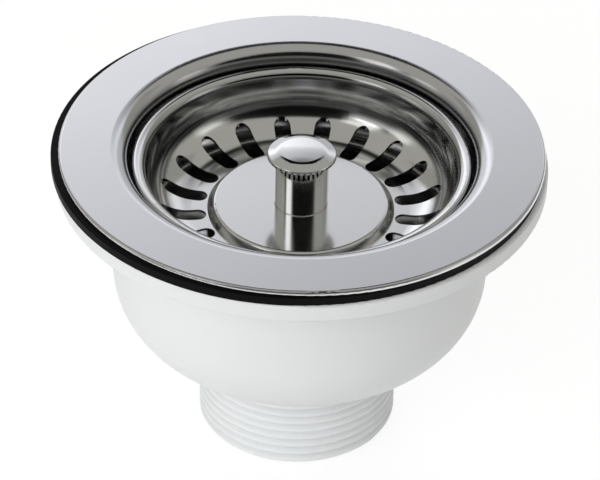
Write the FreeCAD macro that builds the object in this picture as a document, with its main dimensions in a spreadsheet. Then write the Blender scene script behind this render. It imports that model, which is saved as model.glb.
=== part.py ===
import FreeCAD, Part
import math
import os
import Sketcher

# Basket strainer waste for a kitchen sink: a moulded body with a threaded outlet, a rubber
# flange seal, a pressed steel cup and a lift-out basket whose plug closes the cup's well.
# Heights run upwards from the foot of the outlet, and every piece is turned about Z.

# Driving sizes in millimetres, with the counts
SIZES = {
    # outlet of the moulded body
    "outlet_radius": 23.9,
    "outlet_wall": 2.4,
    "relief_depth": 1.5,
    "relief_length": 1.8,
    "foot_chamfer": 0.8,
    # bowl of the moulded body
    "bowl_bottom": 25.3,
    "bowl_gap": 1.75,
    "bowl_draft": 0.8,
    "bowl_shoulder": 1.75,
    "body_wall": 2.0,
    "throat_round": 3.0,
    "neck_round": 0.8,
    # flange of the moulded body
    "flange_underside": 69.3,
    "body_flange_height": 4.4,
    "body_flange_reach": 0.7,
    "body_flange_plate": 2.6,
    "body_rim_width": 2.2,
    "body_edge_round": 0.5,
    "flange_root_round": 1.2,
    # hub and arms above the outlet
    "hub_wall": 3.0,
    "hub_gap": 3.4,
    "arm_width": 2.4,
    "arm_inset": 0.2,
    "arm_drop": 4.5,
    "arm_foot": 3.0,
    # rubber ring between the two flanges
    "seal_thickness": 2.3,
    "seal_inset": 0.1,
    "seal_bore_gap": 3.4,
    "seal_play": 2.3,
    "seal_round": 0.3,
    # pressed steel cup
    "cup_sheet": 0.6,
    "flange_width": 15.9,
    "lip_depth": 1.0,
    "lip_bend": 0.15,
    "mouth_radius": 40.6,
    "mouth_bend": 3.3,
    "cup_draft": 0.9,
    "cup_depth": 23.6,
    "cup_corner": 5.0,
    "well_radius": 18.5,
    "well_depth": 11.4,
    "well_draft": 0.5,
    "well_brink_bend": 0.7,
    "well_corner": 2.0,
    "drain_count": 8,
    "drain_radius": 3.5,
    "drain_edge": 1.0,
    # pressed steel basket
    "basket_sheet": 0.6,
    "rim_gap": 1.05,
    "rim_bend": 0.3,
    "rim_flat": 0.1,
    "rim_roll": 1.6,
    "rim_turn_down": 1.7,
    "basket_depth": 14.2,
    "basket_lean": 1.0,
    "corner_share": 0.875,
    "step_run": 1.3,
    "step_rise": 2.0,
    "step_bend": 0.4,
    "slot_count": 20,
    "slot_width": 4.0,
    "slot_gap": 0.4,
    "slot_land": 0.5,
    "slot_margin": 2.1,
    # turned knob
    "stem_radius": 6.35,
    "stem_height": 12.4,
    "stem_round": 0.5,
    "stem_chamfer": 0.25,
    "cap_overhang": 1.75,
    "cap_flare": 0.5,
    "cap_edge": 0.7,
    "cap_edge_round": 0.5,
    "cap_shoulder_width": 2.5,
    "cap_shoulder_fall": 0.85,
    "cap_shoulder_round": 4.5,
    "cap_dome": 0.25,
    "spigot_radius": 3.0,
    "spigot_gap": 0.5,
    # rubber plug under the basket
    "plug_height": 5.0,
    "plug_seat": 0.2,
    "plug_lip": 2.0,
    "plug_hollow": 2.1,
    "plug_hollow_radius": 15.0,
    "plug_round": 0.4,
    "plug_clearance": 0.3,
    # washer and collet that hold the plug
    "backing_thickness": 1.0,
    "backing_radius": 12.0,
    "collet_neck_radius": 5.0,
    "collet_neck_gap": 0.2,
    "collet_flange": 1.5,
    "collet_flange_width": 2.0,
    "collet_wall": 1.9,
    "collet_gap": 0.5,
    "collet_roof": 0.7,
    "slit_width": 1.2,
    "slit_end": 1.5,
    "ring_wire": 0.8,
    "ring_seat": 0.7,
    "ring_height": 2.6,
    # centre screw, its washer and its nut
    "post_radius": 4.0,
    "post_gap": 0.5,
    "driver_slot_width": 1.4,
    "driver_slot_depth": 2.0,
    "screw_radius": 3.0,
    "screw_flange": 1.5,
    "screw_flange_width": 1.5,
    "screw_recess": 1.0,
    "screw_washer_thickness": 1.0,
    "screw_washer_lap": 0.5,
    "insert_wall": 1.4,
    "insert_cover": 3.0,
    "insert_flange": 1.5,
    "insert_flange_width": 1.7,
    # clearances
    "running_gap": 0.1,
    "hole_gap": 0.3,
    "moulded_gap": 0.02,
}


class Size:
    """A length: its expression on the sheet, and its value now."""

    def __init__(self, text, value):
        self.text = text
        self.value = value

    def __add__(self, other):
        return Size(f"({self.text} + {text_of(other)})", self.value + value_of(other))

    def __sub__(self, other):
        return Size(f"({self.text} - {text_of(other)})", self.value - value_of(other))

    def __mul__(self, other):
        return Size(f"({self.text} * {text_of(other)})", self.value * value_of(other))

    def __truediv__(self, other):
        return Size(f"({self.text} / {text_of(other)})", self.value / value_of(other))


def text_of(length):
    return length.text if isinstance(length, Size) else repr(length)


def value_of(length):
    return length.value if isinstance(length, Size) else length


def hypotenuse(run, rise):
    """The slant length of a slope."""
    return Size(f"sqrt({run.text}^2 + {rise.text}^2)", math.hypot(run.value, rise.value))


def least(first, second):
    """The shorter of two lengths."""
    return Size(f"min({first.text}; {second.text})", min(first.value, second.value))


def mitre(thickness, run, rise):
    """How far a sheet's other face shifts at a fold between a flat and a slope."""
    return thickness * (hypotenuse(run, rise) - run) / rise


class Sizes:
    """The sheet's cells by name."""

    def __init__(self, sheet, values):
        for row, (name, value) in enumerate(values.items(), start=1):
            sheet.set(f"A{row}", name)
            sheet.set(f"B{row}", str(value))
            sheet.setAlias(f"B{row}", name)
            setattr(self, name, Size(f"{sheet.Name}.{name}", value))


doc = FreeCAD.newDocument("basket_strainer_waste")
sheet = doc.addObject("Spreadsheet::Sheet", "Dimensions")
d = Sizes(sheet, SIZES)
doc.recompute()

# Heights that several pieces share
body_top = d.flange_underside + d.body_flange_height
flange_top = body_top + d.seal_thickness + d.lip_depth
cup_floor = flange_top - d.cup_depth
well_floor = cup_floor - d.well_depth
basket_base = cup_floor + d.plug_height
plateau_top = basket_base + d.basket_sheet + d.step_rise
backing_base = cup_floor + d.plug_hollow - d.backing_thickness
collet_flange_base = backing_base - d.collet_flange
screw_seat = well_floor + d.screw_washer_thickness
screw_flange_top = screw_seat + d.screw_flange
collet_base = screw_flange_top + d.collet_gap
collet_skirt = collet_flange_base - collet_base
collet_bore_depth = collet_skirt + d.collet_roof
hub_bottom = d.bowl_bottom + d.arm_inset
hub_top = well_floor - d.cup_sheet - d.hub_gap
insert_top = hub_top - d.insert_cover

# Radii that several pieces share, outwards and inwards from the mouth of the cup
cup_outside = d.mouth_radius + d.cup_sheet
cup_flange_radius = d.mouth_radius + d.flange_width
body_flange_radius = cup_flange_radius + d.body_flange_reach
rim_radius = d.mouth_radius - d.rim_gap
rim_roll = d.rim_roll + d.basket_sheet
roll_start = rim_radius - d.rim_bend - d.basket_sheet - d.rim_flat
wall_top_radius = roll_start - mitre(rim_roll, d.basket_lean, d.basket_depth)

# Radii that follow the well, the post and the screw
plug_lip_radius = d.well_radius + d.well_brink_bend + d.cup_sheet + d.plug_seat
plug_radius = plug_lip_radius + d.plug_lip
slot_inner = plug_radius + d.slot_gap
step_foot = slot_inner - d.slot_land
plateau_radius = step_foot - d.step_run
collet_radius = d.post_radius + d.running_gap + d.collet_wall
screw_flange_radius = d.post_radius + d.screw_flange_width
screw_hole = d.screw_radius + d.hole_gap
insert_radius = d.screw_radius + d.running_gap + d.insert_wall
insert_flange_radius = insert_radius + d.insert_flange_width

# Folds of the basket's sheet at its wall and at its raised middle
wall_mitre = mitre(d.basket_sheet, d.basket_lean, d.basket_depth)
step_mitre = mitre(d.basket_sheet, d.step_run, d.step_rise)

bodies = []
cuts = []


def new_body(label, base):
    """A piece drawn from its own lowest point and set at its height."""
    body = doc.addObject("PartDesign::Body", label)
    body.Label = label
    body.Placement = FreeCAD.Placement()
    body.setExpression("Placement.Base.z", text_of(base))
    bodies.append(body)
    return body


def origin_feature(body, role):
    return next(item for item in body.Origin.OriginFeatures if item.Role == role)


def new_sketch(body, name, plane, height=None):
    sketch = body.newObject("Sketcher::SketchObject", name)
    sketch.AttachmentSupport = [(origin_feature(body, plane), "")]
    sketch.MapMode = "FlatFace"
    if height is not None:
        sketch.setExpression("AttachmentOffset.Base.z", height.text)
    return sketch


def constrain(sketch, size, *constraint):
    """Adds one dimension to a sketch and ties it to the sheet."""
    index = sketch.addConstraint(Sketcher.Constraint(*constraint, size.value))
    name = f"size_{index}"
    sketch.renameConstraint(index, name)
    sketch.setExpression(f"Constraints.{name}", size.text)


def place(sketch, element, point, x, y):
    """Fixes a point of a sketch by its distances from the axes."""
    for kind, length, axis in (("DistanceX", x, -2), ("DistanceY", y, -1)):
        if isinstance(length, Size):
            constrain(sketch, length, kind, -1, 1, element, point)
        else:
            sketch.addConstraint(Sketcher.Constraint("PointOnObject", element, point, axis))


class Corner:
    """A corner of an outline, with the radius of its bend if it has one.

    A domed corner is followed by an arc up to the axis, and not by a straight side.
    """

    def __init__(self, x, y, bend=None, domed=False):
        self.x = x
        self.y = y
        self.bend = bend
        self.domed = domed
        self.at = FreeCAD.Vector(value_of(x), value_of(y), 0)

    def shape(self, before, after):
        """Works out where the bend starts and ends on the two sides."""
        inward = (self.at - before.at).normalize()
        outward = (after.at - self.at).normalize()
        self.left = inward.x * outward.y - inward.y * outward.x > 0
        if self.bend is None:
            self.start = self.at
            self.end = self.at
            return
        radius = self.bend.value
        setback = radius * math.tan(inward.getAngle(outward) / 2)
        self.start = self.at - inward * setback
        self.end = self.at + outward * setback
        side = 1 if self.left else -1
        self.centre = self.start + FreeCAD.Vector(-inward.y, inward.x, 0) * radius * side


def angle_from(centre, point):
    return math.atan2(point.y - centre.y, point.x - centre.x)


def draw_bend(sketch, corner, side_before, side_after):
    """Rounds a corner with an arc that is tangent to both of its sides."""
    first, last = (corner.start, corner.end) if corner.left else (corner.end, corner.start)
    circle = Part.Circle(corner.centre, FreeCAD.Vector(0, 0, 1), corner.bend.value)
    start_angle = angle_from(corner.centre, first)
    end_angle = angle_from(corner.centre, last)
    arc = sketch.addGeometry(Part.ArcOfCircle(circle, start_angle, end_angle))
    entry, leave = (1, 2) if corner.left else (2, 1)
    sketch.addConstraint(Sketcher.Constraint("Tangent", side_before, 2, arc, entry))
    sketch.addConstraint(Sketcher.Constraint("Tangent", arc, leave, side_after, 1))
    constrain(sketch, corner.bend, "Radius", arc)
    tip = sketch.addGeometry(Part.Point(corner.at), True)
    sketch.addConstraint(Sketcher.Constraint("PointOnObject", tip, 1, side_before))
    sketch.addConstraint(Sketcher.Constraint("PointOnObject", tip, 1, side_after))
    place(sketch, tip, 1, corner.x, corner.y)


def draw_dome(sketch, edge, apex):
    """Draws an arc centred on the axis, from the edge of a dome to its top."""
    height = apex.y - edge.y
    radius = (edge.x ** 2 + height ** 2) / (2 * height)
    centre = FreeCAD.Vector(0, apex.y - radius, 0)
    circle = Part.Circle(centre, FreeCAD.Vector(0, 0, 1), radius)
    arc = sketch.addGeometry(Part.ArcOfCircle(circle, angle_from(centre, edge), math.pi / 2))
    sketch.addConstraint(Sketcher.Constraint("PointOnObject", arc, 3, -2))
    return arc


def draw_outline(sketch, corners):
    """Draws a closed outline, with the bends at its corners."""
    count = len(corners)
    for index, corner in enumerate(corners):
        corner.shape(corners[index - 1], corners[(index + 1) % count])
    sides = []
    for index, corner in enumerate(corners):
        following = corners[(index + 1) % count]
        if corner.domed:
            sides.append(draw_dome(sketch, corner.at, following.at))
        else:
            sides.append(sketch.addGeometry(Part.LineSegment(corner.end, following.start)))
    for index, corner in enumerate(corners):
        before = sides[index - 1]
        after = sides[index]
        if corner.bend is None:
            sketch.addConstraint(Sketcher.Constraint("Coincident", before, 2, after, 1))
            place(sketch, after, 1, corner.x, corner.y)
        else:
            draw_bend(sketch, corner, before, after)


def revolve(body, name, corners):
    """Turns a section about the axis of the part."""
    sketch = new_sketch(body, f"{name}_section", "XZ_Plane")
    draw_outline(sketch, corners)
    turned = body.newObject("PartDesign::Revolution", name)
    turned.Profile = sketch
    turned.ReferenceAxis = (sketch, ["V_Axis"])
    turned.Angle = 360
    return turned


def groove(body, name, corners):
    """Cuts a turned section out of the piece."""
    base = body.Tip
    sketch = new_sketch(body, f"{name}_section", "XZ_Plane")
    draw_outline(sketch, corners)
    cut = body.newObject("PartDesign::Groove", name)
    cut.Profile = sketch
    cut.ReferenceAxis = (sketch, ["V_Axis"])
    cut.Angle = 360
    cuts.append((cut, base))
    return cut


def pocket(body, name, sketch, depth=None):
    """Cuts a sketch downwards out of the piece, right through unless a depth is given."""
    base = body.Tip
    cut = body.newObject("PartDesign::Pocket", name)
    cut.Profile = sketch
    if depth is None:
        cut.Type = "ThroughAll"
    else:
        cut.Type = "Length"
        cut.setExpression("Length", depth.text)
    cuts.append((cut, base))
    return cut


def polar(body, name, feature, count, angle=360):
    """Repeats a feature about the axis of the part."""
    ring = body.newObject("PartDesign::PolarPattern", name)
    ring.Originals = [feature]
    ring.Axis = (origin_feature(body, "Z_Axis"), [""])
    ring.Angle = angle
    if isinstance(count, Size):
        ring.setExpression("Occurrences", count.text)
    else:
        ring.Occurrences = count
    body.Tip = ring
    return ring


def edge_at(shape, height):
    """The name of the circular edge of a turned shape that lies at a height."""
    for number, edge in enumerate(shape.Edges, start=1):
        box = edge.BoundBox
        if edge.isClosed() and math.isclose(box.ZMin, height, abs_tol=1e-6) and box.ZLength < 1e-6:
            return f"Edge{number}"
    raise RuntimeError(f"no edge at height {height}")


def draw_bar(sketch, length, width):
    """Draws a rectangle about the centre."""
    half_length = length.value / 2
    half_width = width.value / 2
    points = [
        FreeCAD.Vector(-half_length, -half_width, 0),
        FreeCAD.Vector(half_length, -half_width, 0),
        FreeCAD.Vector(half_length, half_width, 0),
        FreeCAD.Vector(-half_length, half_width, 0),
    ]
    sides = [sketch.addGeometry(Part.LineSegment(points[i], points[(i + 1) % 4])) for i in range(4)]
    for index in range(4):
        following = sides[(index + 1) % 4]
        sketch.addConstraint(Sketcher.Constraint("Coincident", sides[index], 2, following, 1))
        kind = "Horizontal" if index % 2 == 0 else "Vertical"
        sketch.addConstraint(Sketcher.Constraint(kind, sides[index]))
    sketch.addConstraint(Sketcher.Constraint("Symmetric", sides[0], 1, sides[2], 1, -1, 1))
    constrain(sketch, length, "DistanceX", sides[0], 1, sides[0], 2)
    constrain(sketch, width, "DistanceY", sides[1], 1, sides[1], 2)


def draw_radial_slot(sketch, inner, outer, width):
    """Draws a round-ended slot along X, between two radii."""
    radius = width / 2
    first = inner + radius
    last = outer - radius
    left = FreeCAD.Vector(first.value, 0, 0)
    right = FreeCAD.Vector(last.value, 0, 0)
    rise = FreeCAD.Vector(0, radius.value, 0)
    axis = FreeCAD.Vector(0, 0, 1)
    quarter = math.pi / 2
    bottom = sketch.addGeometry(Part.LineSegment(left - rise, right - rise))
    end = sketch.addGeometry(
        Part.ArcOfCircle(Part.Circle(right, axis, radius.value), -quarter, quarter)
    )
    top = sketch.addGeometry(Part.LineSegment(right + rise, left + rise))
    start = sketch.addGeometry(
        Part.ArcOfCircle(Part.Circle(left, axis, radius.value), quarter, 3 * quarter)
    )
    for before, after in ((bottom, end), (end, top), (top, start), (start, bottom)):
        sketch.addConstraint(Sketcher.Constraint("Tangent", before, 2, after, 1))
    for arc, distance in ((start, first), (end, last)):
        sketch.addConstraint(Sketcher.Constraint("PointOnObject", arc, 3, -1))
        constrain(sketch, distance, "DistanceX", -1, 1, arc, 3)
        constrain(sketch, radius, "Radius", arc)


def draw_hole(sketch, distance, radius):
    """Draws a circle on X, at a distance from the axis."""
    centre = FreeCAD.Vector(distance.value, 0, 0)
    circle = sketch.addGeometry(Part.Circle(centre, FreeCAD.Vector(0, 0, 1), radius.value))
    sketch.addConstraint(Sketcher.Constraint("PointOnObject", circle, 3, -1))
    constrain(sketch, distance, "DistanceX", -1, 1, circle, 3)
    constrain(sketch, radius, "Radius", circle)


def washer(label, base, thickness, radius, bore, edge=None):
    """A flat ring."""
    body = new_body(label, base)
    revolve(body, f"{label}_ring", [
        Corner(bore, 0),
        Corner(radius, 0, edge),
        Corner(radius, thickness, edge),
        Corner(bore, thickness),
    ])
    return body


def make_waste_body():
    """Moulded body: threaded outlet, round-bottomed bowl, flange, and the hub on its arms."""
    body = new_body("waste_body", 0)
    outlet_bore = d.outlet_radius - d.relief_depth - d.outlet_wall
    relief_radius = d.outlet_radius - d.relief_depth
    relief_start = d.bowl_bottom - d.relief_length
    bowl_top_radius = cup_outside + d.bowl_gap + d.body_wall
    bowl_radius = bowl_top_radius - d.bowl_draft
    bowl_corner = bowl_radius - d.outlet_radius - d.bowl_shoulder
    bowl_floor = d.bowl_bottom + d.body_wall
    plate_underside = body_top - d.body_flange_plate
    rim_inner = body_flange_radius - d.body_rim_width
    revolve(body, "body_shell", [
        Corner(outlet_bore, 0),
        Corner(d.outlet_radius - d.foot_chamfer, 0),
        Corner(d.outlet_radius, d.foot_chamfer),
        Corner(d.outlet_radius, relief_start - d.relief_depth),
        Corner(relief_radius, relief_start),
        Corner(relief_radius, d.bowl_bottom, d.neck_round),
        Corner(bowl_radius, d.bowl_bottom, bowl_corner),
        Corner(bowl_top_radius, plate_underside, d.flange_root_round),
        Corner(rim_inner, plate_underside, d.body_edge_round),
        Corner(rim_inner, d.flange_underside),
        Corner(body_flange_radius, d.flange_underside, d.body_edge_round),
        Corner(body_flange_radius, body_top, d.body_edge_round),
        Corner(bowl_top_radius - d.body_wall, body_top, d.body_edge_round),
        Corner(bowl_radius - d.body_wall, bowl_floor, bowl_corner - d.body_wall),
        Corner(outlet_bore, bowl_floor, d.throat_round),
    ])
    arm_sketch = new_sketch(body, "arm_outline", "XY_Plane", hub_bottom)
    draw_bar(arm_sketch, (outlet_bore + d.throat_round + d.arm_foot) * 2, d.arm_width)
    arm = body.newObject("PartDesign::Pad", "arm")
    arm.Profile = arm_sketch
    arm.setExpression("Length", (hub_top - d.arm_drop - hub_bottom).text)
    polar(body, "arms", arm, 2, angle=90)
    hub_radius = insert_radius + d.hub_wall
    revolve(body, "hub", [
        Corner(0, hub_bottom),
        Corner(hub_radius, hub_bottom, d.body_edge_round),
        Corner(hub_radius, hub_top, d.body_edge_round),
        Corner(0, hub_top),
    ])
    insert_hole = insert_radius + d.moulded_gap
    flange_hole = insert_flange_radius + d.moulded_gap
    flange_seat = hub_bottom + d.insert_flange
    groove(body, "hub_bore", [
        Corner(0, hub_bottom),
        Corner(flange_hole, hub_bottom),
        Corner(flange_hole, flange_seat),
        Corner(insert_hole, flange_seat),
        Corner(insert_hole, insert_top),
        Corner(screw_hole, insert_top),
        Corner(screw_hole, hub_top),
        Corner(0, hub_top),
    ])


def make_flange_seal():
    """Rubber ring, which lies against the cup on one side as far as its play lets it."""
    radius = body_flange_radius - d.seal_inset
    bore = cup_outside + d.seal_bore_gap
    body = washer("flange_seal", body_top, d.seal_thickness, radius, bore, d.seal_round)
    shift = d.seal_bore_gap - d.seal_play
    body.setExpression("Placement.Base.x", f"-{shift.text}")


def make_strainer_cup():
    """Pressed cup: flange with a turned-down lip, tapered wall, floor and a well with drain holes."""
    body = new_body("strainer_cup", well_floor - d.cup_sheet)
    sheet_gauge = d.cup_sheet
    well_top = sheet_gauge
    floor_top = well_top + d.well_depth
    top = floor_top + d.cup_depth
    lip_bottom = top - d.lip_depth
    foot_radius = d.well_radius - d.well_draft
    wall_foot = d.mouth_radius - d.cup_draft
    lip_inner = cup_flange_radius - sheet_gauge
    revolve(body, "cup_pressing", [
        Corner(screw_hole, 0),
        Corner(foot_radius + sheet_gauge, 0, d.well_corner + sheet_gauge),
        Corner(d.well_radius + sheet_gauge, floor_top - sheet_gauge, d.well_brink_bend),
        Corner(wall_foot + sheet_gauge, floor_top - sheet_gauge, d.cup_corner + sheet_gauge),
        Corner(cup_outside, top - sheet_gauge, d.mouth_bend),
        Corner(lip_inner, top - sheet_gauge, d.lip_bend),
        Corner(lip_inner, lip_bottom),
        Corner(cup_flange_radius, lip_bottom),
        Corner(cup_flange_radius, top, d.lip_bend + sheet_gauge),
        Corner(d.mouth_radius, top, d.mouth_bend + sheet_gauge),
        Corner(wall_foot, floor_top, d.cup_corner),
        Corner(d.well_radius, floor_top, d.well_brink_bend + sheet_gauge),
        Corner(foot_radius, well_top, d.well_corner),
        Corner(screw_hole, well_top),
    ])
    hole_sketch = new_sketch(body, "drain_outline", "XY_Plane", well_top)
    drain_circle = foot_radius - d.well_corner - d.drain_edge - d.drain_radius
    draw_hole(hole_sketch, drain_circle, d.drain_radius)
    hole = pocket(body, "drain_hole", hole_sketch)
    polar(body, "drain_holes", hole, d.drain_count)


def make_basket():
    """Pressed basket: rolled rim, leaning wall, round corner, and slots that run up round the corner."""
    body = new_body("basket", basket_base)
    gauge = d.basket_sheet
    plateau = gauge + d.step_rise
    rim_top = gauge + d.basket_depth
    rim_bottom = rim_top - d.rim_turn_down
    wall_foot = wall_top_radius - d.basket_lean
    corner = least(wall_foot - step_foot, d.basket_depth - rim_roll) * d.corner_share
    rim_inner = rim_radius - gauge
    spigot_hole = d.spigot_radius + d.hole_gap
    revolve(body, "basket_pressing", [
        Corner(spigot_hole, d.step_rise),
        Corner(plateau_radius - step_mitre, d.step_rise, d.step_bend),
        Corner(step_foot - step_mitre, 0, d.step_bend + gauge),
        Corner(wall_foot + wall_mitre, 0, corner + gauge),
        Corner(wall_top_radius + wall_mitre, rim_top - gauge, d.rim_roll),
        Corner(rim_inner, rim_top - gauge, d.rim_bend),
        Corner(rim_inner, rim_bottom),
        Corner(rim_radius, rim_bottom),
        Corner(rim_radius, rim_top, d.rim_bend + gauge),
        Corner(wall_top_radius, rim_top, rim_roll),
        Corner(wall_foot, gauge, corner),
        Corner(step_foot, gauge, d.step_bend),
        Corner(plateau_radius, plateau, d.step_bend + gauge),
        Corner(spigot_hole, plateau),
    ])
    slot_sketch = new_sketch(body, "slot_outline", "XY_Plane", rim_top)
    draw_radial_slot(slot_sketch, slot_inner, wall_foot - d.slot_margin, d.slot_width)
    # a bar, and not a slot, stands on each axis of the part
    slot_sketch.setExpression("AttachmentOffset.Rotation.Angle", f"180 / {d.slot_count.text}")
    slot = pocket(body, "slot", slot_sketch)
    polar(body, "slots", slot, d.slot_count)


def make_knob():
    """Turned knob: spigot, plain stem, and a cap with a sloping shoulder and a nearly flat top."""
    spigot_base = collet_base + collet_bore_depth + d.spigot_gap
    body = new_body("knob", spigot_base)
    shoulder = plateau_top - spigot_base
    stem_top = shoulder + d.stem_height
    edge_bottom = stem_top + d.cap_flare
    edge_top = edge_bottom + d.cap_edge
    shoulder_top = edge_top + d.cap_shoulder_fall
    cap_radius = d.stem_radius + d.cap_overhang
    turned = revolve(body, "knob_turning", [
        Corner(0, 0),
        Corner(d.spigot_radius, 0),
        Corner(d.spigot_radius, shoulder),
        Corner(d.stem_radius - d.stem_chamfer, shoulder),
        Corner(d.stem_radius, shoulder + d.stem_chamfer),
        Corner(d.stem_radius, stem_top, d.stem_round),
        Corner(cap_radius, edge_bottom),
        Corner(cap_radius, edge_top, d.cap_edge_round),
        Corner(cap_radius - d.cap_shoulder_width, shoulder_top, domed=True),
        Corner(0, shoulder_top + d.cap_dome),
    ])
    doc.recompute()
    soften = body.newObject("PartDesign::Fillet", "cap_shoulder_blend")
    soften.Base = (turned, [edge_at(turned.Shape, shoulder_top.value)])
    soften.setExpression("Radius", d.cap_shoulder_round.text)


def make_plug_seal():
    """Rubber plug: a spigot in the raised middle, and a hollow foot whose lip meets the cup's floor."""
    body = new_body("plug_seal", cup_floor)
    spigot = plateau_radius - step_mitre - d.plug_clearance
    bore = d.collet_neck_radius + d.running_gap
    top = d.plug_height + d.step_rise
    revolve(body, "plug_moulding", [
        Corner(plug_lip_radius, 0),
        Corner(plug_radius, 0, d.plug_round),
        Corner(plug_radius, d.plug_height, d.plug_round),
        Corner(spigot, d.plug_height),
        Corner(spigot, top, d.plug_round),
        Corner(bore, top),
        Corner(bore, d.plug_hollow),
        Corner(d.plug_hollow_radius, d.plug_hollow),
    ])


def make_spring_collet():
    """Collet: a neck that screws on the knob's spigot, a flange, and four fingers round the post."""
    body = new_body("spring_collet", collet_base)
    flange_top_height = collet_skirt + d.collet_flange
    neck_top = basket_base + d.step_rise - d.collet_neck_gap - collet_base
    post_bore = d.post_radius + d.running_gap
    spigot_bore = d.spigot_radius + d.running_gap
    flange_radius = collet_radius + d.collet_flange_width
    seat_radius = collet_radius - d.ring_seat
    seat_bottom = d.ring_height - d.ring_wire
    seat_top = d.ring_height + d.ring_wire
    revolve(body, "collet_turning", [
        Corner(post_bore, 0),
        Corner(collet_radius, 0),
        Corner(collet_radius, seat_bottom),
        Corner(seat_radius, seat_bottom),
        Corner(seat_radius, seat_top),
        Corner(collet_radius, seat_top),
        Corner(collet_radius, collet_skirt),
        Corner(flange_radius, collet_skirt),
        Corner(flange_radius, flange_top_height),
        Corner(d.collet_neck_radius, flange_top_height),
        Corner(d.collet_neck_radius, neck_top),
        Corner(spigot_bore, neck_top),
        Corner(spigot_bore, collet_bore_depth),
        Corner(post_bore, collet_bore_depth),
    ])
    slit_sketch = new_sketch(body, "slit_outline", "XY_Plane", collet_skirt - d.slit_end)
    draw_bar(slit_sketch, flange_radius * 2, d.slit_width)
    slit = pocket(body, "slit", slit_sketch)
    polar(body, "slits", slit, 2, angle=90)


def make_collet_ring():
    """Rubber ring in the groove of the collet's fingers."""
    ring = doc.addObject("Part::Torus", "collet_ring")
    ring.Label = "collet_ring"
    centre_radius = collet_radius - d.ring_seat + d.ring_wire + d.moulded_gap
    ring.setExpression("Radius1", centre_radius.text)
    ring.setExpression("Radius2", (d.ring_wire - d.moulded_gap).text)
    ring.setExpression("Placement.Base.z", (collet_base + d.ring_height).text)
    bodies.append(ring)


def make_centre_screw():
    """Fixing screw: shank down into the nut, a flange on the washer, and a slotted post above."""
    shank_end = hub_bottom + d.screw_recess
    body = new_body("centre_screw", shank_end)
    shank = screw_seat - shank_end
    flange_height = shank + d.screw_flange
    post_top = flange_height + d.collet_gap + collet_bore_depth - d.post_gap
    revolve(body, "screw_turning", [
        Corner(0, 0),
        Corner(d.screw_radius, 0),
        Corner(d.screw_radius, shank),
        Corner(screw_flange_radius, shank),
        Corner(screw_flange_radius, flange_height),
        Corner(d.post_radius, flange_height),
        Corner(d.post_radius, post_top),
        Corner(0, post_top),
    ])
    slot_sketch = new_sketch(body, "driver_slot_outline", "XY_Plane", post_top)
    draw_bar(slot_sketch, d.post_radius * 3, d.driver_slot_width)
    pocket(body, "driver_slot", slot_sketch, d.driver_slot_depth)


def make_insert_nut():
    """Brass nut in the hub, with a sunk flange that the screw pulls up against the hub."""
    body = new_body("insert_nut", hub_bottom)
    bore = d.screw_radius + d.running_gap
    top = insert_top - hub_bottom
    revolve(body, "insert_turning", [
        Corner(bore, 0),
        Corner(insert_flange_radius, 0),
        Corner(insert_flange_radius, d.insert_flange),
        Corner(insert_radius, d.insert_flange),
        Corner(insert_radius, top),
        Corner(bore, top),
    ])


def check():
    """Stops if a feature failed, a cut removed nothing or a piece is not a sound solid."""
    for item in doc.Objects:
        if "Invalid" in item.State or "Error" in item.State:
            raise RuntimeError(f"{item.Label} failed: {item.State}")
    for cut, base in cuts:
        if cut.Shape.Volume >= base.Shape.Volume:
            raise RuntimeError(f"{cut.Label} removed nothing")
    for body in bodies:
        if body.Shape.isNull() or not body.Shape.isValid() or len(body.Shape.Solids) != 1:
            raise RuntimeError(f"{body.Label} is not one sound solid")


make_waste_body()
make_flange_seal()
make_strainer_cup()
make_basket()
make_knob()
make_plug_seal()
washer(
    "backing_washer",
    backing_base,
    d.backing_thickness,
    d.backing_radius,
    d.collet_neck_radius + d.running_gap,
)
make_spring_collet()
make_collet_ring()
make_centre_screw()
washer(
    "screw_washer",
    well_floor,
    d.screw_washer_thickness,
    screw_flange_radius + d.screw_washer_lap,
    screw_hole,
)
make_insert_nut()

doc.recompute()
check()
os.makedirs("parts", exist_ok=True)
for body in bodies:
    body.Shape.exportStep(f"parts/{body.Label}.step")
    print(body.Label, round(body.Shape.Volume, 1), "mm3")
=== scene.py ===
import math
from collections import namedtuple

import bmesh
import bpy
from mathutils import Matrix, Vector


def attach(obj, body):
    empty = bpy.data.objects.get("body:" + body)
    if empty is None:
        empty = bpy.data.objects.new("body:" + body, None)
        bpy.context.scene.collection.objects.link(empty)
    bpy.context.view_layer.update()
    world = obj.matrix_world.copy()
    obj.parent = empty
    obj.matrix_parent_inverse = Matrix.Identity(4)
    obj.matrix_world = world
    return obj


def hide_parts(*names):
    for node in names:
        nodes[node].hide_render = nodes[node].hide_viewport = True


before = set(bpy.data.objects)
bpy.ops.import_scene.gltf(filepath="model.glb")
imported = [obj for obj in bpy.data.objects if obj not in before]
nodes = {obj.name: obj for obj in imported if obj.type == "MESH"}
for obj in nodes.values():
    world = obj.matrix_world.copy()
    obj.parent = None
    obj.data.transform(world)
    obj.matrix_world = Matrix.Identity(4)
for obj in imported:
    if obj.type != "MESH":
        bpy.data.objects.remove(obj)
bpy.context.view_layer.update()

MM = 0.001
FULL_TURN = 2 * math.pi
DEGREES = 180 / math.pi
WHITE = (1, 1, 1, 1)

# A range of values whose ends are soft
Band = namedtuple("Band", "low high soft")


# Node helpers

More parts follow.
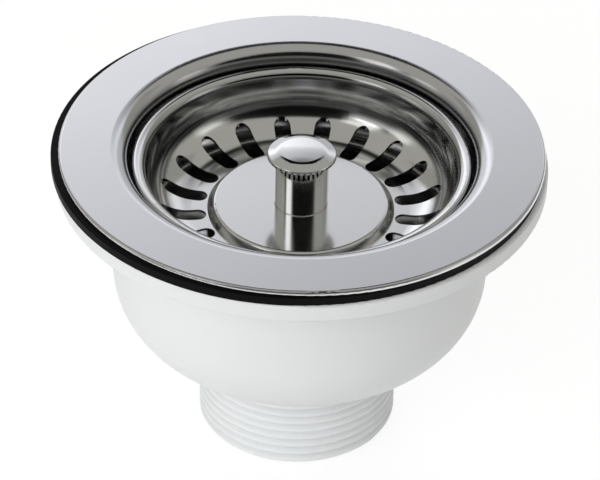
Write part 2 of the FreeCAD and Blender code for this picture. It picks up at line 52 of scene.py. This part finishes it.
class Graph:
    """Adds nodes to a tree and links them by socket."""

    def __init__(self, tree):
        self.tree = tree
        tree.nodes.clear()

    def add(self, kind, inputs=None, **settings):
        node = self.tree.nodes.new(kind)
        for name, value in settings.items():
            setattr(node, name, value)
        for key, value in (inputs or {}).items():
            self.plug(value, node.inputs[key])
        return node

    def plug(self, value, socket):
        if isinstance(value, bpy.types.Node):
            value = value.outputs[0]
        if isinstance(value, bpy.types.NodeSocket):
            self.tree.links.new(value, socket)
        else:
            socket.default_value = value

    def math(self, operation, a, b=0.0):
        return self.add("ShaderNodeMath", {0: a, 1: b}, operation=operation)

    def combine(self, operation, first, *others):
        """One value from many, by a sum, a product or the largest."""
        for other in others:
            first = self.math(operation, first, other)
        return first

    def ramp(self, value, low, high, to_low=0.0, to_high=1.0):
        """A smooth step from one value to another."""
        return self.add("ShaderNodeMapRange", {
            "Value": value, "From Min": low, "From Max": high, "To Min": to_low, "To Max": to_high,
        }, interpolation_type="SMOOTHSTEP")

    def window(self, value, band):
        """1 inside a band and 0 outside it."""
        rise = self.ramp(value, band.low - band.soft, band.low + band.soft)
        fall = self.ramp(value, band.high - band.soft, band.high + band.soft, 1.0, 0.0)
        return self.math("MULTIPLY", rise, fall)


def new_material(name):
    material = bpy.data.materials.new(name)
    material.use_nodes = True
    return material, Graph(material.node_tree)


def noise(g, vector, scale, detail=4.0, roughness=0.55):
    node = g.add("ShaderNodeTexNoise", {
        "Vector": vector, "Scale": scale, "Detail": detail, "Roughness": roughness,
    })
    return node.outputs["Fac"]


# Places of the colours among the sockets of a Mix node
MIX_FIRST, MIX_SECOND, MIX_RESULT = 6, 7, 2


def mix_colour(g, factor, first, second):
    node = g.add("ShaderNodeMix", {
        "Factor": factor, MIX_FIRST: first, MIX_SECOND: second,
    }, data_type="RGBA")
    return node.outputs[MIX_RESULT]


def bump(g, height, strength, distance, normal=None):
    node = g.add("ShaderNodeBump", {
        "Height": height, "Strength": strength, "Distance": distance,
    })
    if normal is not None:
        g.plug(normal, node.inputs["Normal"])
    return node.outputs["Normal"]


def shader(g, colour, rough, normal, constants=None):
    node = g.add("ShaderNodeBsdfPrincipled", {
        "Base Color": colour, "Roughness": rough, "Normal": normal, **(constants or {}),
    })
    g.add("ShaderNodeOutputMaterial", {"Surface": node})


def object_space(g):
    return g.add("ShaderNodeTexCoord").outputs["Object"]


# Materials

NOISE_LOW, NOISE_HIGH = 0.3, 0.7
RING_TWIST = 0.0004
# Painted dark rings on steel: the softness of their edges and the spread of their streaks
PAINTED_RING_EDGE = 0.8 * MM
PAINTED_RING_SPREAD = 0.1
SCRATCH_STRETCH = (1.0, 14.0, 3.0)
SCRATCH_TURN = (0.3, 0.2, 0.7)
SCRATCH_RANGE = (0.66, 0.74)
SCRATCH_ROUGH = 0.03
SCRATCH_SHARE = 0.4
BLOOM_RANGE = (0.4, 0.75)
TARNISH_RANGE = (0.35, 0.75)


def ring_space(g, place):
    """Coordinates that hardly change round the axis, in which noise makes turned marks.

    The height along the axis is given as well.
    """
    x, y, height = g.add("ShaderNodeSeparateXYZ", {0: place}).outputs
    squares = g.math("ADD", g.math("MULTIPLY", x, x), g.math("MULTIPLY", y, y))
    along = g.math("MULTIPLY", g.math("ARCTAN2", y, x), RING_TWIST)
    ring = g.add("ShaderNodeCombineXYZ", {0: g.math("SQRT", squares), 1: along, 2: height})
    return ring, height


def painted_dark_band(g, colour, inside, marks, share):
    """A colour darkened to a share of its light, with streaks, where inside is 1: painted shade
    that stands in for dark reflections.
    """
    least, most = share * (1 - PAINTED_RING_SPREAD), share * (1 + PAINTED_RING_SPREAD)
    streaks = g.ramp(marks, NOISE_LOW, NOISE_HIGH, least, most)
    channels = g.add("ShaderNodeSeparateColor", {0: colour}).outputs
    shades = [g.math("MULTIPLY", channel, streaks) for channel in channels]
    darkened = g.add("ShaderNodeCombineColor", dict(enumerate(shades)))
    return mix_colour(g, inside, colour, darkened.outputs[0])


def steel(name, light, dark, rough, spin, grain, painted_dark_rings=()):
    """Pressed or turned steel: fine marks round the axis, faint clouding and hairline scratches.

    The bands passed last give heights between which the colour is darkened to paint dark
    reflections, each with the share of light that is left there.
    """
    material, g = new_material(name)
    place = object_space(g)
    ring, height = ring_space(g, place)
    spun = noise(g, ring, scale=spin, detail=3.0)
    cloud = noise(g, place, scale=38.0, detail=5.0)
    scratch_place = g.add("ShaderNodeMapping", {
        "Vector": place, "Scale": SCRATCH_STRETCH, "Rotation": SCRATCH_TURN,
    })
    scratch = g.ramp(noise(g, scratch_place, scale=190.0, detail=2.0), *SCRATCH_RANGE)
    colour = mix_colour(g, cloud, dark, light)
    # Painted shade: bands of darker colour that stand in for dark reflections in the steel
    for low, high, share in painted_dark_rings:
        inside = g.window(height, Band(low, high, PAINTED_RING_EDGE))
        colour = painted_dark_band(g, colour, inside, spun, share)
    clouded = g.ramp(cloud, NOISE_LOW, NOISE_HIGH, *rough)
    scratched = g.math("ADD", clouded, g.math("MULTIPLY", scratch, SCRATCH_ROUGH))
    marks = bump(g, spun, strength=grain, distance=0.02 * MM)
    marks = bump(g, scratch, strength=grain * SCRATCH_SHARE, distance=0.01 * MM, normal=marks)
    shader(g, colour, scratched, marks, {"Metallic": 1.0})
    return material


def white_plastic():
    """Satin moulded plastic: slight cloudiness, a soft moulded grain and a little light inside."""
    material, g = new_material("white_moulded_plastic")
    place = object_space(g)
    cloud = noise(g, place, scale=24.0)
    grain = noise(g, place, scale=1900.0, detail=3.0)
    wave = noise(g, place, scale=60.0, detail=2.0)
    colour = mix_colour(g, cloud, (0.79, 0.805, 0.815, 1), (0.84, 0.855, 0.865, 1))
    rough = g.ramp(cloud, NOISE_LOW, NOISE_HIGH, to_low=0.36, to_high=0.46)
    marks = bump(g, wave, strength=0.05, distance=0.6 * MM)
    marks = bump(g, grain, strength=0.06, distance=0.05 * MM, normal=marks)
    shader(g, colour, rough, marks, {
        "IOR": 1.47,
        "Subsurface Weight": 0.06,
        "Subsurface Radius": (4 * MM, 4 * MM, 4 * MM),
        "Subsurface Scale": 0.2,
    })
    return material


def plain_plastic():
    """Uncoloured plastic with a fine moulded grain."""
    material, g = new_material("natural_plastic")
    place = object_space(g)
    cloud = noise(g, place, scale=90.0)
    grain = noise(g, place, scale=2500.0)
    colour = mix_colour(g, cloud, (0.74, 0.73, 0.69, 1), (0.82, 0.81, 0.78, 1))
    rough = g.ramp(cloud, NOISE_LOW, NOISE_HIGH, to_low=0.38, to_high=0.5)
    shader(g, colour, rough, bump(g, grain, strength=0.08, distance=0.04 * MM))
    return material


def rubber(name, light, dark, rough):
    """Black rubber: fine moulded grain with a dusty bloom."""
    material, g = new_material(name)
    place = object_space(g)
    bloom = noise(g, place, scale=70.0, detail=5.0)
    grain = noise(g, place, scale=2600.0, detail=3.0)
    colour = mix_colour(g, g.ramp(bloom, *BLOOM_RANGE), dark, light)
    bloomed = g.ramp(bloom, NOISE_LOW, NOISE_HIGH, *rough)
    marks = bump(g, grain, strength=0.14, distance=0.06 * MM)
    shader(g, colour, bloomed, marks, {"Specular IOR Level": 0.08})
    return material


def brass():
    """Turned brass with patches of tarnish."""
    material, g = new_material("turned_brass")
    place = object_space(g)
    ring, _ = ring_space(g, place)
    turned = noise(g, ring, scale=2600.0, detail=2.0)
    tarnish = noise(g, place, scale=160.0, detail=5.0)
    patches = g.ramp(tarnish, *TARNISH_RANGE)
    colour = mix_colour(g, patches, (0.78, 0.60, 0.30, 1), (0.52, 0.38, 0.17, 1))
    rough = g.ramp(tarnish, low=0.3, high=0.75, to_low=0.22, to_high=0.4)
    marks = bump(g, turned, strength=0.25, distance=0.03 * MM)
    shader(g, colour, rough, marks, {"Metallic": 1.0})
    return material


cup_steel = steel(
    "satin_steel",
    light=(0.74, 0.74, 0.755, 1),
    dark=(0.70, 0.70, 0.715, 1),
    rough=(0.15, 0.18),
    spin=1500.0,
    grain=0.10,
    # Painted dark reflection: a darker ring of colour just under the mouth
    painted_dark_rings=[(72.8 * MM, 75.3 * MM, 0.35)],
)
basket_steel = steel(
    "polished_pressing",
    light=(0.80, 0.80, 0.80, 1),
    dark=(0.75, 0.75, 0.75, 1),
    rough=(0.12, 0.15),
    spin=1200.0,
    grain=0.10,
    # Painted dark reflections: darker rings of colour low and high on the basket's wall
    painted_dark_rings=[(63.9 * MM, 66.2 * MM, 0.20), (69.0 * MM, 72.4 * MM, 0.30)],
)
knob_steel = steel(
    "mirror_turning",
    light=(0.78, 0.785, 0.785, 1),
    dark=(0.74, 0.745, 0.745, 1),
    rough=(0.03, 0.05),
    spin=2200.0,
    grain=0.05,
)
screw_steel = steel(
    "turned_steel",
    light=(0.62, 0.62, 0.61, 1),
    dark=(0.52, 0.52, 0.51, 1),
    rough=(0.2, 0.32),
    spin=2600.0,
    grain=0.3,
)
seal_rubber = rubber(
    "flange_rubber",
    light=(0.003, 0.0034, 0.003, 1),
    dark=(0.001, 0.0012, 0.001, 1),
    rough=(0.45, 0.6),
)
plug_rubber = rubber(
    "plug_moulded_rubber",
    light=(0.034, 0.034, 0.034, 1),
    dark=(0.014, 0.014, 0.014, 1),
    rough=(0.5, 0.68),
)
plastic = white_plastic()

finishes = {
    "flange_seal": seal_rubber,
    "strainer_cup": cup_steel,
    "basket": basket_steel,
    "knob": knob_steel,
    "plug_seal": plug_rubber,
    "backing_washer": screw_steel,
    "spring_collet": plain_plastic(),
    "collet_ring": plug_rubber,
    "centre_screw": screw_steel,
    "screw_washer": seal_rubber,
    "insert_nut": brass(),
}
for node_name, finish in finishes.items():
    for slot in nodes[node_name].material_slots:
        slot.material = finish


def copy_of(node_name, piece_name):
    """A new piece with its own copy of a node's mesh."""
    mesh = nodes[node_name].data.copy()
    mesh.name = piece_name
    piece = bpy.data.objects.new(piece_name, mesh)
    bpy.context.collection.objects.link(piece)
    return piece


# Moulded body with its pipe thread, in millimetres

FOOT_RADIUS = 23.1
CREST_RADIUS = 23.9
ROOT_RADIUS = 22.42
RELIEF_RADIUS = 22.4
BORE_RADIUS = 20.0
FOOT_CHAMFER = 0.8
THREAD_PITCH = 2.309
THREAD_PHASE = 0.25
THREAD_TOP = 22.0
RUN_OUT_END = 21.0
RUN_OUT_LENGTH = 1.6
RELIEF_TOP = 23.5
SKIN_TOP = 22.7
ROOT_FLAT = 0.06
FLANK_SHARE = 0.8
FLANK_CURVE = 1.8
TURN_STEPS = 240
ROWS_PER_MM = 8
CUT_LIMIT = 0.02


def clamp(value):
    return min(max(value, 0.0), 1.0)


def thread_radius(angle, z):
    """Radius of the outlet's skin: a rounded pipe thread between the foot and the neck."""
    phase = (z / THREAD_PITCH - angle / FULL_TURN + THREAD_PHASE) % 1.0
    wave = abs(phase - 0.5) * 2.0
    flank = clamp((wave - ROOT_FLAT) / FLANK_SHARE)
    profile = 1.0 - (1.0 - flank) ** FLANK_CURVE
    depth = (CREST_RADIUS - ROOT_RADIUS) * clamp((RUN_OUT_END - z) / RUN_OUT_LENGTH)
    radius = CREST_RADIUS - depth * (1.0 - profile)
    if z < FOOT_CHAMFER:
        radius = min(radius, FOOT_RADIUS + z)
    if z > THREAD_TOP:
        radius = min(radius, CREST_RADIUS - (z - THREAD_TOP))
    return radius


def is_plain_outlet(face):
    """Whether a face is on the outlet's plain skin, the cone above it or its end."""
    spans = [(math.hypot(v.co.x, v.co.y) / MM, v.co.z / MM) for v in face.verts]
    radii = [radius for radius, _ in spans]
    heights = [z for _, z in spans]
    low, high = min(radii), max(radii)
    bottom, top = min(heights), max(heights)
    skin = low > FOOT_RADIUS - CUT_LIMIT and top < SKIN_TOP
    cone_width = RELIEF_RADIUS - CUT_LIMIT < low and high < CREST_RADIUS + CUT_LIMIT
    cone_height = THREAD_TOP - CUT_LIMIT < bottom and top < RELIEF_TOP + CUT_LIMIT
    end = top < CUT_LIMIT and low > BORE_RADIUS - CUT_LIMIT
    return skin or (cone_width and cone_height) or end


def add_ring(bm, z, radius_at):
    """A ring of vertices at one height, whose radius depends on the angle."""
    ring = []
    for step in range(TURN_STEPS):
        angle = FULL_TURN * step / TURN_STEPS
        radius = radius_at(angle, z) * MM
        ring.append(bm.verts.new((radius * math.cos(angle), radius * math.sin(angle), z * MM)))
    return ring


def add_thread(bm):
    """The end of the outlet and its threaded skin, as rings of faces."""
    rings = [add_ring(bm, 0, lambda angle, z: BORE_RADIUS)]
    for row in range(int(RELIEF_TOP * ROWS_PER_MM) + 1):
        rings.append(add_ring(bm, row / ROWS_PER_MM, thread_radius))
    faces = []
    for low, high in zip(rings, rings[1:]):
        for i in range(TURN_STEPS):
            j = (i + 1) % TURN_STEPS
            faces.append(bm.faces.new((low[i], low[j], high[j], high[i])))
    bmesh.ops.recalc_face_normals(bm, faces=faces)
    for face in faces:
        face.smooth = True


def body_piece():
    """A copy of the moulded body whose plain outlet is cut into a thread."""
    piece = copy_of("waste_body", "moulded_body")
    bm = bmesh.new()
    bm.from_mesh(piece.data)
    plain = [face for face in bm.faces if is_plain_outlet(face)]
    bmesh.ops.delete(bm, geom=plain, context="FACES")
    add_thread(bm)
    bm.to_mesh(piece.data)
    bm.free()
    piece.data.materials.clear()
    piece.data.materials.append(plastic)
    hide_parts("waste_body")
    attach(piece, "waste")


body_piece()


# Steel cup with its shading evened out, with the step between rings in millimetres

RING_STEP = 0.01
RING_SHARE = 0.1
RING_CORNERS = 60
SLOPE_STEP = math.radians(4)


def mesh_rings(mesh, normals):
    """Corners of a mesh by the ring that they lie on, each with the slope of its normal."""
    rings = {}
    for loop in mesh.loops:
        place = mesh.vertices[loop.vertex_index].co
        normal = normals[loop.index]
        radius = math.hypot(place.x, place.y)
        outward = (normal.x * place.x + normal.y * place.y) / radius
        key = (round(radius / MM / RING_STEP), round(place.z / MM / RING_STEP))
        rings.setdefault(key, []).append((loop.index, math.atan2(normal.z, outward)))
    return rings


def common_slopes(corners):
    """Slopes that many corners of a ring share, each as the middle one of its kind."""
    kinds = {}
    for _, slope in corners:
        kinds.setdefault(round(slope / SLOPE_STEP), []).append(slope)
    common = [sorted(kind) for kind in kinds.values() if len(kind) > RING_SHARE * len(corners)]
    return [kind[len(kind) // 2] for kind in common]


def nearest_slope(slope, slopes):
    return min(slopes, key=lambda other: abs(math.remainder(other - slope, FULL_TURN)))


def cup_piece():
    """A copy of the steel cup whose normals are the same all round each ring of its mesh."""
    piece = copy_of("strainer_cup", "steel_cup")
    mesh = piece.data
    mesh.shade_smooth()
    solid = nodes["strainer_cup"].data
    normals = [solid.corner_normals[i].vector.copy() for i in range(len(mesh.loops))]
    for corners in mesh_rings(mesh, normals).values():
        slopes = common_slopes(corners)
        if len(corners) < RING_CORNERS or not slopes:
            continue
        for index, slope in corners:
            slope = nearest_slope(slope, slopes)
            place = mesh.vertices[mesh.loops[index].vertex_index].co
            outward = Vector((place.x, place.y, 0)).normalized()
            normals[index] = outward * math.cos(slope) + Vector((0, 0, math.sin(slope)))
    mesh.normals_split_custom_set(normals)
    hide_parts("strainer_cup")
    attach(piece, "waste")


cup_piece()


# Floor

FLOOR_SIZE = 6.0
FLOOR_FRONT = -0.3
FLOOR_GLOW = 1.16
GLOW_SHARE = 0.7


def stage_floor():
    """A pale floor that looks white and keeps a soft shadow of the part."""
    middle = (0, FLOOR_FRONT + FLOOR_SIZE / 2, 0)
    bpy.ops.mesh.primitive_plane_add(size=FLOOR_SIZE, location=middle)
    floor = bpy.context.object
    floor.name = "floor"
    material, g = new_material("pale_floor")
    cloud = noise(g, object_space(g), scale=9.0)
    tone = mix_colour(g, cloud, (0.84, 0.84, 0.84, 1), (0.86, 0.86, 0.86, 1))
    matte = g.add("ShaderNodeBsdfDiffuse", {"Color": tone})
    glow = g.add("ShaderNodeEmission", {"Color": WHITE, "Strength": FLOOR_GLOW})
    pale = g.add("ShaderNodeMixShader", {0: GLOW_SHARE, 1: matte, 2: glow})
    path = g.add("ShaderNodeLightPath").outputs
    mirrored = g.math("MAXIMUM", path["Is Glossy Ray"], path["Is Transmission Ray"])
    seen = g.math("MAXIMUM", path["Is Camera Ray"], mirrored)
    both = g.add("ShaderNodeMixShader", {0: seen, 1: matte, 2: pale})
    g.add("ShaderNodeOutputMaterial", {"Surface": both})
    floor.data.materials.append(material)


# Studio light, in degrees: rise is the height above the horizon, turn goes from the camera's side
# to the right, side is the turn either way, and arch goes from the far horizon over the top

Sky = namedtuple("Sky", "rise turn side arch slant")

SLANT_FLOOR = 0.05
BACKDROP_STEPS = [(33, 39, 0.25), (39, 45.5, 0.62), (31.5, 34.5, 0.3)]
BACKDROP_SIDE = (140, 150)
BACKDROP_SLANT = (-0.16, 0.16, 1.1, 0.76)
BACKDROP_FOOT = (19, 28, 0.6, 1.0)

CEILING_ARCH = Band(63, 127, 2)
CEILING_FOOT = (30, 44)
RIGHT_WALL = Band(60, 118, 6)
LEFT_WALL = Band(-124, -74, 6)
WALL_TOP = (56, 70, 1.0, 0.0)
WING_SIDE, WING_RISE = Band(112, 158, 5), Band(42, 66, 3)
SCREEN_SIDE, SCREEN_TOP = Band(112, 146, 5), (40, 46, 0.8, 0.0)

RIGHT_BOX_TURN, RIGHT_BOX_TOP = Band(66, 86, 5), (26, 34, 1.0, 0.0)
LEFT_FOOT_TURN, LEFT_FOOT_RISE = Band(-92, -38, 5), Band(-5, 32, 2)
LEFT_FOOT_FADE = (14, 34, 0.4, 1.0)
LEFT_HEAD_TURN, LEFT_HEAD_RISE = Band(-66, -38, 4), Band(31, 52, 3)
LEFT_BAR_TURN, LEFT_BAR_RISE = Band(-64, -43, 3), Band(34, 39, 1.2)
NEAR_STRIP_TURN, NEAR_STRIP_RISE = Band(-40, 64, 3), Band(5, 22, 3)

BACKDROP_COLOUR = (1.0, 1.012, 1.05)
SOFT_COLOUR = (0.39, 0.386, 0.352)
RIGHT_BOX_COLOUR = (0.5, 0.5, 0.48)
LEFT_BOX_COLOUR = (0.6, 0.6, 0.585)
LEFT_BAR_COLOUR = (1.0, 1.0, 0.99)
NEAR_STRIP_COLOUR = (0.36, 0.36, 0.35)
DIM_COLOUR = (0.004, 0.004, 0.004)
HORIZON_FADE = (-6, -2, 1.0, 0.0)


def sky_angles(g):
    """Angles of the direction that is looked at."""
    way = g.add("ShaderNodeTexCoord").outputs["Generated"]
    x, y, z = g.add("ShaderNodeSeparateXYZ", {0: way}).outputs
    near = g.math("MULTIPLY", y, -1.0)
    rise = g.math("MULTIPLY", g.math("ARCSINE", z), DEGREES)
    turn = g.math("MULTIPLY", g.math("ARCTAN2", x, near), DEGREES)
    arch = g.math("MULTIPLY", g.math("ARCTAN2", z, y), DEGREES)
    slant = g.math("DIVIDE", x, g.math("MAXIMUM", y, SLANT_FLOOR))
    return Sky(rise, turn, g.math("ABSOLUTE", turn), arch, slant)


def backdrop_light(g, sky):
    """Pale backdrop that fades upwards in steps, a little to the right and towards its foot."""
    steps = [g.ramp(sky.rise, low, high, share, 0.0) for low, high, share in BACKDROP_STEPS]
    height = g.combine("ADD", *steps)
    width = g.ramp(sky.side, *BACKDROP_SIDE)
    slant = g.ramp(sky.slant, *BACKDROP_SLANT)
    foot = g.ramp(sky.rise, *BACKDROP_FOOT)
    return g.combine("MULTIPLY", width, height, slant, foot)


def soft_light(g, sky):
    """Ceiling and walls, with wings and screens that join the walls to the backdrop."""
    ceiling = g.window(sky.arch, CEILING_ARCH)
    ceiling = g.math("MULTIPLY", ceiling, g.ramp(sky.rise, *CEILING_FOOT))
    walls = g.math("MAXIMUM", g.window(sky.turn, RIGHT_WALL), g.window(sky.turn, LEFT_WALL))
    walls = g.math("MULTIPLY", walls, g.ramp(sky.rise, *WALL_TOP))
    wings = g.math("MULTIPLY", g.window(sky.side, WING_SIDE), g.window(sky.rise, WING_RISE))
    screens = g.window(sky.side, SCREEN_SIDE)
    screens = g.math("MULTIPLY", screens, g.ramp(sky.rise, *SCREEN_TOP))
    return g.combine("MAXIMUM", ceiling, walls, wings, screens)


def panel(g, sky, turn, rise):
    """A panel between two turns and two rises."""
    return g.math("MULTIPLY", g.window(sky.turn, turn), g.window(sky.rise, rise))


def left_light(g, sky):
    """Panel at the left, broad below and narrow above."""
    foot = panel(g, sky, LEFT_FOOT_TURN, LEFT_FOOT_RISE)
    foot = g.math("MULTIPLY", foot, g.ramp(sky.rise, *LEFT_FOOT_FADE))
    return g.math("MAXIMUM", foot, panel(g, sky, LEFT_HEAD_TURN, LEFT_HEAD_RISE))


def right_light(g, sky):
    """Low panel at the right."""
    return g.math("MULTIPLY", g.window(sky.turn, RIGHT_BOX_TURN), g.ramp(sky.rise, *RIGHT_BOX_TOP))


def studio_world():
    """Panels of light round the part, with a dim side where the camera stands.

    Past the floor's end the camera sees white, and so does metal below the horizon.
    """
    world = bpy.data.worlds.new("studio")
    world.use_nodes = True
    bpy.context.scene.world = world
    g = Graph(world.node_tree)
    sky = sky_angles(g)
    panels = [
        (backdrop_light(g, sky), BACKDROP_COLOUR),
        (soft_light(g, sky), SOFT_COLOUR),
        (right_light(g, sky), RIGHT_BOX_COLOUR),
        (left_light(g, sky), LEFT_BOX_COLOUR),
        (panel(g, sky, LEFT_BAR_TURN, LEFT_BAR_RISE), LEFT_BAR_COLOUR),
        (panel(g, sky, NEAR_STRIP_TURN, NEAR_STRIP_RISE), NEAR_STRIP_COLOUR),
    ]
    total = DIM_COLOUR
    for amount, colour in panels:
        scaled = g.add("ShaderNodeVectorMath", {0: colour, "Scale": amount}, operation="SCALE")
        total = g.add("ShaderNodeVectorMath", {0: total, 1: scaled}, operation="ADD")
    lit = g.add("ShaderNodeBackground", {"Color": total, "Strength": 1.0})
    white = g.add("ShaderNodeBackground", {"Color": WHITE, "Strength": 1.0})
    path = g.add("ShaderNodeLightPath").outputs
    mirrored = g.math("MAXIMUM", path["Is Glossy Ray"], path["Is Transmission Ray"])
    mirrored = g.math("MULTIPLY", mirrored, g.ramp(sky.rise, *HORIZON_FADE))
    seen = g.math("MAXIMUM", path["Is Camera Ray"], mirrored)
    both = g.add("ShaderNodeMixShader", {0: seen, 1: lit, 2: white})
    g.add("ShaderNodeOutputWorld", {"Surface": both})


# Lamps and camera

LAMP_TARGET = Vector((0, 0, 0.045))
CAMERA_TARGET = Vector((0, 0, 0.04947))
CAMERA_DISTANCE = 0.7
CAMERA_RISE = 36.44
CAMERA_ROLL = 1.3
CAMERA_LENS = 177.07
CAMERA_SENSOR = 36.0
CAMERA_CLIP = 0.01


def direction(turn, rise):
    """Unit vector away from the part, for a turn from the camera's side and a rise in degrees."""
    t, r = math.radians(turn), math.radians(rise)
    return Vector((math.sin(t) * math.cos(r), -math.cos(t) * math.cos(r), math.sin(r)))


def lamp(name, turn, rise, distance, size, power):
    """A soft square lamp that faces the part and isn't mirrored in its metal."""
    data = bpy.data.lights.new(name, "AREA")
    data.shape = "SQUARE"
    data.size = size
    data.energy = power
    obj = bpy.data.objects.new(name, data)
    bpy.context.collection.objects.link(obj)
    away = direction(turn, rise)
    obj.location = LAMP_TARGET + away * distance
    obj.rotation_euler = (-away).to_track_quat("-Z", "Y").to_euler()
    obj.visible_glossy = False


def camera():
    """The photograph's camera, fitted to the part and slightly rolled."""
    data = bpy.data.cameras.new("camera")
    data.lens = CAMERA_LENS
    data.sensor_width = CAMERA_SENSOR
    data.clip_start = CAMERA_CLIP
    obj = bpy.data.objects.new("camera", data)
    bpy.context.collection.objects.link(obj)
    away = direction(0, CAMERA_RISE)
    right = Vector((1, 0, 0))
    up = away.cross(right)
    roll = math.radians(CAMERA_ROLL)
    tilted_right = right * math.cos(roll) + up * math.sin(roll)
    tilted_up = up * math.cos(roll) - right * math.sin(roll)
    place = CAMERA_TARGET + away * CAMERA_DISTANCE
    turned = Matrix((tilted_right, tilted_up, away)).transposed().to_4x4()
    obj.matrix_world = Matrix.Translation(place) @ turned
    bpy.context.scene.camera = obj


stage_floor()
studio_world()
lamp("left_softbox", turn=-54, rise=14, distance=1.1, size=0.6, power=2.9)
lamp("front_fill", turn=-10, rise=26, distance=1.3, size=1.1, power=8.2)
lamp("back_fill", turn=180, rise=28, distance=1.3, size=1.1, power=6.0)
camera()
bpy.context.scene.view_settings.view_transform = "Standard"
